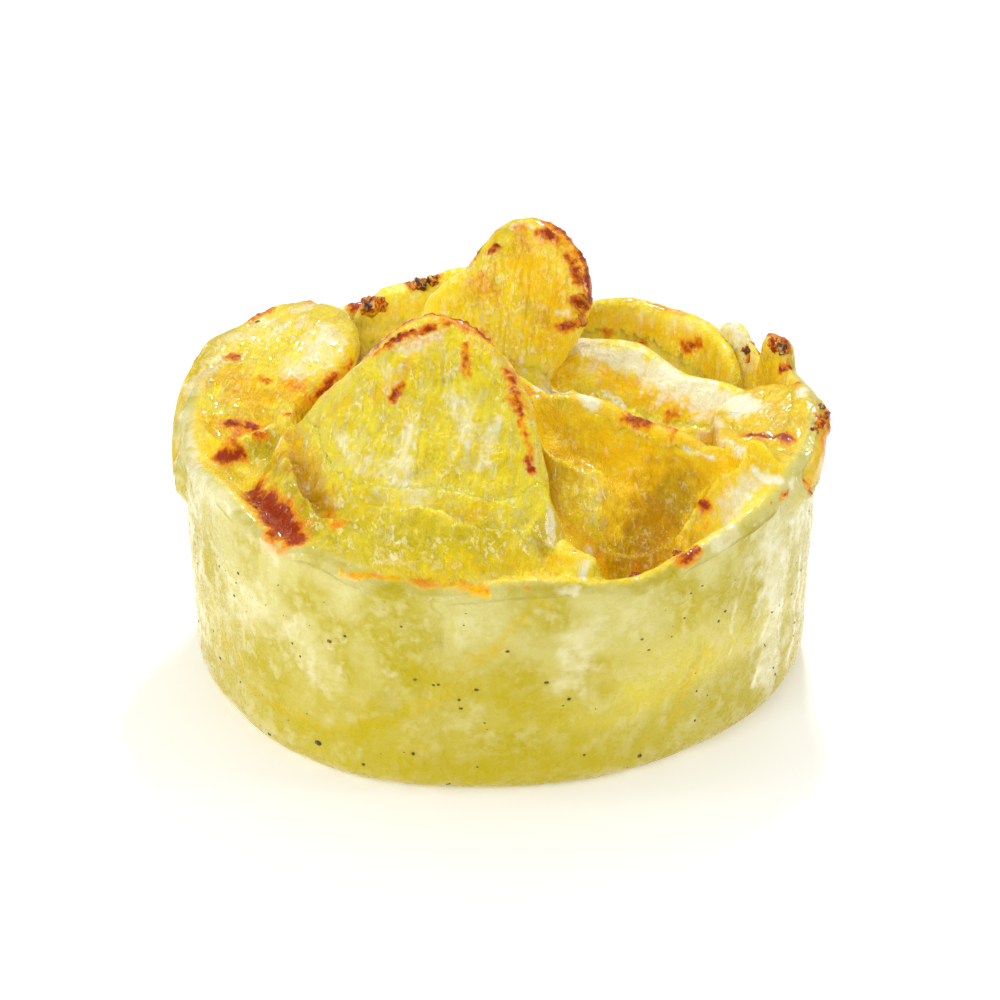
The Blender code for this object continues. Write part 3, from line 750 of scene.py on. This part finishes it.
def crumbs_on(bm, name, form):
    """Adds crumbs along the slice's outline, at the places that they have in the solids."""
    draw = random.Random(name)
    place_in_drum = slice_frame(form)
    for first, last, count, size in form.crumbs:
        for k in range(count):
            angle = first + (last - first) * (k + draw.uniform(*CRUMB_PLACES)) / count
            share, side = draw.uniform(*CRUMB_REACHES), draw.uniform(*CRUMB_SIDES)
            local = slice_point(form, share, angle, side)
            radius = size * draw.uniform(*CRUMB_SIZES)
            place = pressed_to_mould(place_in_drum @ local, MOULD_RADIUS - radius)
            crumb(bm, place, radius, draw.uniform(*CRUMB_SHAPES))


def add_blisters(bm):
    """Adds the browned blisters on the drum's top."""
    for azimuth, inward, radius in BLISTERS:
        x, y = toward(azimuth, wall_radius(azimuth, WALL_HEIGHT) - inward)
        height = top_place(x, y)[0]
        for vert in crumb(bm, Vector((x, y, height)), radius, azimuth):
            vert.co.z = height + (vert.co.z - height) * BLISTER_FLATNESS


def distance_to_line(places, points):
    """Each place's distance to a line through the points."""
    if len(points) == 1:
        return np.linalg.norm(places - points[0], axis=1)
    best = np.full(len(places), np.inf)
    for a, b in zip(points, points[1:]):
        along = b - a
        t = np.clip((places - a) @ along / (along @ along), 0, 1)
        best = np.minimum(best, np.linalg.norm(places - a - t[:, None] * along, axis=1))
    return best


def noise_over(places, size, seed=0.0):
    return np.array([noise.noise(Vector((x + seed, y, z)) / size) for x, y, z in places])


def warped(places, size, reach):
    """The places, each moved a little by noise, so that marks get wandering outlines."""
    moved = [noise_over(places, size, seed) for seed in WANDER_SEEDS]
    return places + reach * np.array(moved).T


def marked(channel, places, rough):
    """How strongly the marks of one kind cover each place, from 0 to 1."""
    cover = np.zeros(len(places))
    for hundredths, *tenths in MARKS[channel]:
        strength, radius = hundredths / 100, tenths[0] / 10
        points = np.array(tenths[1:]).reshape(-1, 3) / 10
        low, high = points.min(axis=0) - radius * MARK_BOX, points.max(axis=0) + radius * MARK_BOX
        near = np.all((places > low) & (places < high), axis=1)
        if not near.any():
            continue
        away = distance_to_line(places[near], points) + radius * MARK_ROUGHNESS * rough[near]
        cover[near] = np.maximum(cover[near], strength * (1 - smooth(away, 0.0, radius * MARK_EDGE)))
    return cover


def placed(name, data):
    """A new object in the scene."""
    obj = bpy.data.objects.new(name, data)
    bpy.context.scene.collection.objects.link(obj)
    return obj


def object_from(bm, name, material, channels=None, grain=None):
    """A finished piece in metres, with its baked colours and grain places as attributes."""
    places = np.array([v.co[:] for v in bm.verts])
    rough = sum(part * noise_over(places, size, seed) for part, size, seed in MARK_NOISE)
    spots = places
    for size, reach in WANDERS:
        spots = warped(spots, size, reach)
    values = {kind: marked(kind, spots, rough) for kind in MARKS}
    for kind, amount in (channels or {}).items():
        values[kind] = np.maximum(values.get(kind, 0.0), amount)
    bubbles = BUBBLE_LEVEL + BUBBLE_SWING * noise_over(places, BUBBLE_SIZE, 2)
    lift = BROWN_LIFT * smooth(values["brown"], *BROWN_FROM) * bubbles
    bm.normal_update()
    for vert, up in zip(bm.verts, lift):
        if up > LEAST_LIFT and vert.co.z > FOOT_KEPT:
            vert.co += vert.normal * up
        vert.co *= MM
    mesh = bpy.data.meshes.new(name)
    for face in bm.faces:
        face.smooth = True
    bm.to_mesh(mesh)
    bm.free()
    for label, kinds in (("bake", ("brown", "char", "deep")), ("tint", ("pale", "wall", "painted_shade_and_dim"))):
        attribute = mesh.attributes.new(label, "FLOAT_COLOR", "POINT")
        colours = np.ones((len(places), 4), np.float32)
        for k, kind in enumerate(kinds):
            colours[:, k] = values.get(kind, 0.0)
        attribute.data.foreach_set("color", colours.ravel())
    attribute = mesh.attributes.new("grain", "FLOAT_VECTOR", "POINT")
    grain_places = (grain if grain is not None else places).astype(np.float32)
    attribute.data.foreach_set("vector", grain_places.ravel())
    obj = placed(name, mesh)
    mesh.materials.append(material)
    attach(obj, "root")
    return obj


class Value:
    """A number in a shader. Maths on it adds Math nodes."""

    def __init__(self, graph, socket):
        self.graph = graph
        self.socket = socket

    def __add__(self, other):
        return self.graph.maths("ADD", self, other)

    def __sub__(self, other):
        return self.graph.maths("SUBTRACT", self, other)

    def __rsub__(self, other):
        return self.graph.maths("SUBTRACT", other, self)

    def __mul__(self, other):
        return self.graph.maths("MULTIPLY", self, other)

    __rmul__ = __mul__


class Graph:
    """A material's nodes, made one call at a time."""

    def __init__(self, name):
        self.material = bpy.data.materials.new(name)
        self.material.use_nodes = True
        self.tree = self.material.node_tree
        self.tree.nodes.clear()

    def node(self, kind, settings=None, sockets=None):
        """Adds a node: its settings first, then its sockets' values or links."""
        made = self.tree.nodes.new(kind)
        for key, value in (settings or {}).items():
            setattr(made, key, value)
        for key, value in (sockets or {}).items():
            if isinstance(value, Value):
                value = value.socket
            if isinstance(value, bpy.types.NodeSocket):
                self.tree.links.new(value, made.inputs[key])
            else:
                made.inputs[key].default_value = value
        return made

    def maths(self, operation, first, second):
        made = self.node("ShaderNodeMath", {"operation": operation}, {0: first, 1: second})
        return Value(self, made.outputs[0])

    def eased(self, value, low, high, out_low=0.0, out_high=1.0):
        """The value moved from low..high to out_low..out_high, eased at both ends."""
        made = self.node(
            "ShaderNodeMapRange",
            {"interpolation_type": "SMOOTHSTEP"},
            {"Value": value, "From Min": low, "From Max": high, "To Min": out_low, "To Max": out_high},
        )
        return Value(self, made.outputs[0])

    def mixed(self, factor, first, second):
        """A colour between two colours."""
        made = self.node("ShaderNodeMix", {"data_type": "RGBA"}, {0: factor, 6: first, 7: second})
        return made.outputs[2]

    def cloud(self, place, size, detail=3.0, roughness=0.55, distortion=0.0):
        """Noise from 0 to 1 with lumps of about a size in the place's own units."""
        made = self.node(
            "ShaderNodeTexNoise",
            {"noise_dimensions": "3D"},
            {
                "Vector": place, "Scale": 1 / size, "Detail": detail,
                "Roughness": roughness, "Distortion": distortion,
            },
        )
        return Value(self, made.outputs[0])

    def roughened(self, value, swing, fade):
        """The value made uneven by a swing, wherever it isn't 0."""
        return value + swing * self.eased(value, 0.0, fade)

    def attribute(self, name):
        return self.node("ShaderNodeAttribute", {"attribute_name": name})

    def channels(self, name):
        parted = self.node("ShaderNodeSeparateColor", {}, {0: self.attribute(name).outputs["Color"]})
        return [Value(self, parted.outputs[k]) for k in range(3)]

    def finished(self, sockets, settings=None):
        """Adds the surface's shader and hands back the material."""
        shader = self.node("ShaderNodeBsdfPrincipled", settings, sockets)
        self.node("ShaderNodeOutputMaterial", {}, {"Surface": shader.outputs[0]})
        return self.material


def gratin_material(name, plain, shade, pale, grain_strength):
    """Set cream or potato: soft and translucent, wet on top, with baked and browned places, painted shade,
    and painted glints and highlights.
    """
    g = Graph(name)
    place = g.node("ShaderNodeTexCoord").outputs["Object"]
    brown, char, deep = g.channels("bake")
    curd_and_highlight, wall, painted_shade_and_dim = g.channels("tint")
    grain_place = g.attribute("grain").outputs["Vector"]

    # Noise in three sizes, and fibres and flecks stretched up the slice's face
    broad = g.cloud(place, 8 * MM, 3)
    middle = g.cloud(place, 2.2 * MM, 4, 0.6)
    fine = g.cloud(place, 0.55 * MM, 3, 0.6)
    stretched = g.node(
        "ShaderNodeVectorMath", {"operation": "MULTIPLY"}, {0: grain_place, 1: (1.4, 0.6, 1.0)}
    ).outputs[0]
    fibres = g.cloud(stretched, 1.5, 4, 0.65, 0.8)
    flecks = g.cloud(stretched, 0.62, 2, 0.5, 0.8)
    clusters = g.cloud(stretched, 3.2, 2, 0.5, 0.5)

    inner = 1 - wall
    lumps, dust, strands = middle - 0.5, fine - 0.5, fibres - 0.5
    glaze = middle + dust * 0.6

    # Potato or filling inside, cream on the wall, which turns olive near the foot as painted shade
    patches = g.eased(broad + lumps * 0.8, 0.38, 0.64)
    up = Value(g, g.node("ShaderNodeSeparateXYZ", {}, {0: place}).outputs[2])
    low = g.eased(up + (broad - 0.5) * (14 * MM) + lumps * (5 * MM), 25 * MM, 3 * MM)
    colour = g.mixed(patches, plain, shade)
    colour = g.mixed(g.eased(fibres, 0.48, 0.62) * grain_strength, colour, pale)
    # Painted shade: the wall's cream turns olive towards the foot
    cream = g.mixed(low * 0.75, g.mixed(patches, CREAM, CREAM_SHADE), OLIVE_PAINTED_SHADE)
    cream = g.mixed(g.eased(middle, 0.42, 0.75) * 0.35, cream, CREAM_PALE)
    colour = g.mixed(wall, colour, cream)

    # Deep yellow, painted shade, painted glints, pale curd with painted highlights, browned and charred
    # places, one over the other
    # Deep yellow, partly painted shade and bounce light in hollows
    rough_deep = g.roughened(deep, strands * 1.3, 0.2)
    colour = g.mixed(g.eased(rough_deep, 0.12, 0.95), colour, DEEP_YELLOW)
    # Painted shade: olive, or ochre where the colour is deep
    rough_painted_shade_and_dim = g.roughened(painted_shade_and_dim, strands * 0.7 + lumps * 0.5, 0.2)
    colour = g.mixed(g.eased(rough_painted_shade_and_dim, 0.1, 1.0), colour, g.mixed(g.eased(deep, 0.4, 1.0), OLIVE_PAINTED_SHADE, OCHRE_PAINTED_SHADE))
    # Painted glints: small pale flecks in clusters, more of them in the painted shade
    glint_noise = flecks + 0.04 * g.eased(painted_shade_and_dim, 0.2, 0.7)
    painted_glints = g.eased(glint_noise, 0.56, 0.67) * g.eased(clusters, 0.43, 0.6)
    colour = g.mixed(painted_glints * inner * g.eased(deep, 0.3, 0.9, 0.55, 0.3), colour, CREAM_PALE)
    # Pale curd, and painted highlights along ridges and edges
    rough_curd_and_highlight = g.roughened(curd_and_highlight, lumps * 0.4 + strands * 0.9 * inner, 0.15)
    colour = g.mixed(g.eased(rough_curd_and_highlight, 0.2, 0.85) * 0.9, colour, CURD_AND_HIGHLIGHT)
    rough_brown = g.roughened(brown, dust * 0.7 + lumps * 0.6, 0.25)
    colour = g.mixed(g.eased(rough_brown, 0.04, 0.55), colour, ORANGE)
    colour = g.mixed(g.eased(rough_brown, 0.4, 0.88), colour, BROWN_RED)
    rough_char = g.roughened(char, dust * 0.9, 0.12)
    colour = g.mixed(g.eased(rough_char, 0.30, 0.85), colour, CHARRED)

    # A soft bump, and a coat of fat in wet spots
    height = fine * 0.22 + middle * 1.3 + fibres * 0.7 * inner + flecks * 0.7 * inner
    bump = g.node("ShaderNodeBump", {}, {"Strength": 0.8, "Distance": 0.45 * MM, "Height": height})
    roughness = g.eased(glaze, 0.3, 0.7, 0.18, 0.42) + rough_brown * 0.06
    coat = g.eased(glaze, 0.47, 0.6, 0.03, 1.0) * g.eased(deep, 0.4, 1.0, 1.0, 0.4)
    return g.finished({
        "Base Color": colour, "Roughness": roughness, "Normal": bump.outputs[0],
        "Subsurface Weight": 0.42, "Subsurface Radius": (1.0, 0.75, 0.3),
        "Subsurface Scale": 1.4 * MM, "IOR": 1.37, "Coat Weight": coat,
        "Coat Roughness": 0.045, "Coat IOR": 1.42, "Specular Tint": (1.0, 0.85, 0.35, 1),
        "Specular IOR Level": 0.35,
    }, {"subsurface_method": "RANDOM_WALK"})


def pepper_material():
    g = Graph("pepper")
    place = g.node("ShaderNodeTexCoord").outputs["Object"]
    spread = g.cloud(place, 0.6 * MM, 2)
    colour = g.mixed(g.eased(spread, 0.4, 0.6), (0.09, 0.045, 0.012, 1), (0.22, 0.13, 0.03, 1))
    bump = g.node("ShaderNodeBump", {}, {"Strength": 0.5, "Distance": 0.05 * MM, "Height": spread})
    return g.finished({"Base Color": colour, "Roughness": 0.55, "Normal": bump.outputs[0]})


def make_pepper(drum_tree):
    """Specks of pepper half sunk in the wall."""
    draw = random.Random("pepper")
    bm = bmesh.new()
    specks = list(LARGE_SPECKS)
    while len(specks) < SPECKS:
        azimuth, height = draw.uniform(-180, 180), draw.uniform(*SPECK_HEIGHTS)
        x, y = toward(azimuth, CLUMP_RING)
        if noise.noise(Vector((x, y, height / 2)) / CLUMP_SIZE) + draw.uniform(*CLUMP_CHANCES) > 0:
            specks.append((azimuth, height, draw.uniform(*SPECK_RADII)))
    for azimuth, height, radius in specks:
        outside = Vector((*toward(azimuth, OUTSIDE), height))
        inward = Vector((*toward(azimuth, -1), 0))
        place, normal, _, _ = drum_tree.ray_cast(outside, inward)
        if place is None:
            continue
        made = bmesh.ops.create_icosphere(bm, subdivisions=1, radius=radius)
        turn = normal.to_track_quat("Z", "Y").to_matrix()
        long = draw.uniform(*SPECK_LENGTHS)
        for vert in made["verts"]:
            local = Vector((vert.co.x * long, vert.co.y, vert.co.z * SPECK_FLATNESS))
            local *= 1 + SPECK_UNEVENNESS * noise.noise(vert.co / radius + place)
            vert.co = place + turn @ local
    return bm


def shelter_for_painted_shade(bm, tree):
    """How much of the sky each vertex can't see, from 0 to 1, for painting shade into the colour."""
    around = [Vector((*toward(turn, 1.0), rise)) for turn, rise in SKY]
    painted_occlusion_shade = []
    for vert in bm.verts:
        if vert.co.z < SHELTER_FROM:
            painted_occlusion_shade.append(0.0)
            continue
        start = vert.co + vert.normal * SHELTER_START
        met = sum(tree.ray_cast(start, way, SHELTER_REACH)[0] is not None for way in around)
        painted_occlusion_shade.append(met / len(around))
    return np.array(painted_occlusion_shade)


def tone_near(place, tree, owners):
    """The filling's tone, which takes on that of a slice close by."""
    _, _, face, away = tree.find_nearest(place)
    share = float(1 - smooth(away, *TONE_FADES))
    near_tone = SLICES[owners[face]].tone
    return [own + (near - own) * share for own, near in zip(FILLING_TONE, near_tone)]


def in_band(value, low, high):
    """1 between two eased limits, and 0 outside them."""
    return smooth(value, *low) * (1 - smooth(value, *high))


def edge_browning(form, own):
    """How brown and how charred a slice's edge is, in thin lines along parts of its outline."""
    share, angle, side = own[:, :3].T
    outer = smooth(share, *LINE_SPAN)
    broken = LINE_LEVEL + LINE_BREAKS * noise_over(own[:, 3:], LINE_BREAK_SIZE, 3.0)
    brown, char = np.zeros(len(own)), np.zeros(len(own))
    for first, last, strength in form.lines:
        middle, half = (first + last) / 2, (last - first) / 2
        along = 1 - smooth(turn_between(angle, middle), half - LINE_ENDS[0], half + LINE_ENDS[1])
        brown = np.maximum(brown, strength * along * outer * in_band(side, *BROWN_BAND) * broken)
        char = np.maximum(char, (strength - CHAR_LESS) * along * outer * in_band(side, *CHAR_BAND) * broken)
    return brown, char


def light(name, place, energy, size):
    """A soft light that looks at the gratin."""
    lamp = bpy.data.lights.new(name, "AREA")
    lamp.energy = energy
    lamp.shape = "RECTANGLE"
    lamp.size, lamp.size_y = size
    obj = placed(name, lamp)
    obj.location = place
    obj.rotation_mode = "QUATERNION"
    obj.rotation_quaternion = (Vector(place) - Vector(LOOK_AT)).to_track_quat("Z", "Y")


def make_stage():
    """Camera, studio lights and a plain pale floor."""
    camera = placed("camera", bpy.data.cameras.new("camera"))
    camera.data.lens = CAMERA_LENS
    camera.data.sensor_width = CAMERA_SENSOR
    angle = math.radians(CAMERA_ELEVATION)
    back = Vector((0, -math.cos(angle), math.sin(angle)))
    camera.location = Vector(LOOK_AT) + back * CAMERA_AWAY
    camera.rotation_mode = "QUATERNION"
    camera.rotation_quaternion = (-back).to_track_quat("-Z", "Y")
    bpy.context.scene.camera = camera

    bm = bmesh.new()
    bmesh.ops.create_grid(bm, x_segments=1, y_segments=1, size=FLOOR_REACH)
    mesh = bpy.data.meshes.new("floor")
    bm.to_mesh(mesh)
    bm.free()
    floor = placed("floor", mesh)
    mesh.materials.append(Graph("white_table").finished({
        "Base Color": FLOOR_COLOUR, "Roughness": 0.6,
        "Emission Color": (1, 1, 1, 1), "Emission Strength": FLOOR_GLOW,
    }))

    for name, place, energy, size in LIGHTS:
        light(name, place, energy, size)

    world = bpy.data.worlds.new("studio")
    bpy.context.scene.world = world
    world.use_nodes = True
    background = world.node_tree.nodes["Background"]
    background.inputs["Color"].default_value = (1, 1, 1, 1)
    background.inputs["Strength"].default_value = WORLD_STRENGTH
    bpy.context.scene.view_settings.view_transform = "Standard"


def tree_of(bms):
    """A search tree over several meshes together."""
    joined = bmesh.new()
    for bm in bms:
        mesh = bpy.data.meshes.new("joined")
        bm.to_mesh(mesh)
        joined.from_mesh(mesh)
        bpy.data.meshes.remove(mesh)
    tree = BVHTree.FromBMesh(joined)
    joined.free()
    return tree


def dress_drum(drum, slices, slices_tree, whole_tree, material):
    """Finishes the drum: cream on the wall, the slices' tones in the filling next to them, and painted
    shade where it is sheltered.
    """
    owners = [name for name, (bm, _) in slices.items() for _ in bm.faces]
    places = np.array([v.co[:] for v in drum.verts])
    away = np.hypot(places[:, 0], places[:, 1])
    crest = np.array([rim_height(azimuth_of(x, y)) for x, y, _ in places])
    on_wall = np.maximum(smooth(away, *DRUM_WALL_FROM), smooth(crest - places[:, 2], *BELOW_CREST))
    filling = 1 - on_wall
    drum.normal_update()
    # Painted shade: sheltered places in the filling are coloured deeper and dimmer
    painted_occlusion_shade = shelter_for_painted_shade(drum, whole_tree) * filling
    tones = np.array([tone_near(vert.co, slices_tree, owners) for vert in drum.verts])
    deeper, dimmer = DRUM_PAINTED_SHADE
    channels = {
        "deep": (tones[:, 0] + deeper * painted_occlusion_shade) * filling, "painted_shade_and_dim": tones[:, 1] * filling + dimmer * painted_occlusion_shade,
        "pale": tones[:, 2] * filling, "wall": on_wall,
    }
    piece = object_from(drum, "set_cream_drum", material, channels)
    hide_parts("custard_drum")


def dress_slices(slices, whole_tree, material):
    """Finishes the slices, each with its own tone, browned edge and painted shade where it is sheltered."""
    for name, (bm, own) in slices.items():
        bm.normal_update()
        away = np.array([math.hypot(v.co.x, v.co.y) for v in bm.verts])
        brown, char = edge_browning(SLICES[name], own)
        # Painted shade: sheltered places on the slice are coloured deeper and dimmer
        painted_occlusion_shade = shelter_for_painted_shade(bm, whole_tree)
        deep, painted_shade_and_dim, pale = SLICES[name].tone
        deeper, dimmer = SLICE_PAINTED_SHADE
        channels = {
            "wall": smooth(away, *SLICE_WALL_FROM), "brown": brown, "char": char, "pale": pale,
            "deep": deep + deeper * painted_occlusion_shade, "painted_shade_and_dim": painted_shade_and_dim + dimmer * painted_occlusion_shade,
        }
        piece = object_from(bm, "looks_" + name, material, channels, own[:, 3:])
        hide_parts(name)


def main():
    make_stage()
    custard = gratin_material("set_cream", POTATO, POTATO_SHADE, POTATO_PALE, 0.5)
    potato = gratin_material("potato", POTATO, POTATO_SHADE, POTATO_PALE, 0.6)
    crust = gratin_material("browned_crust", BROWN_RED, CHARRED, ORANGE, 0.9)

    slices = {name: make_slice(name, form) for name, form in SLICES.items()}
    slice_meshes = [bm for bm, _ in slices.values()]
    slices_tree = tree_of(slice_meshes)
    drum = make_drum(slices_tree)
    drum_tree = BVHTree.FromBMesh(drum)
    whole_tree = tree_of(slice_meshes + [drum])
    dress_drum(drum, slices, slices_tree, whole_tree, custard)
    dress_slices(slices, whole_tree, potato)

    bm = bmesh.new()
    for name, form in SLICES.items():
        crumbs_on(bm, name, form)
    add_blisters(bm)
    piece = object_from(bm, "browned_crumbs", crust)

    piece = object_from(make_pepper(drum_tree), "pepper_specks", pepper_material())


main()
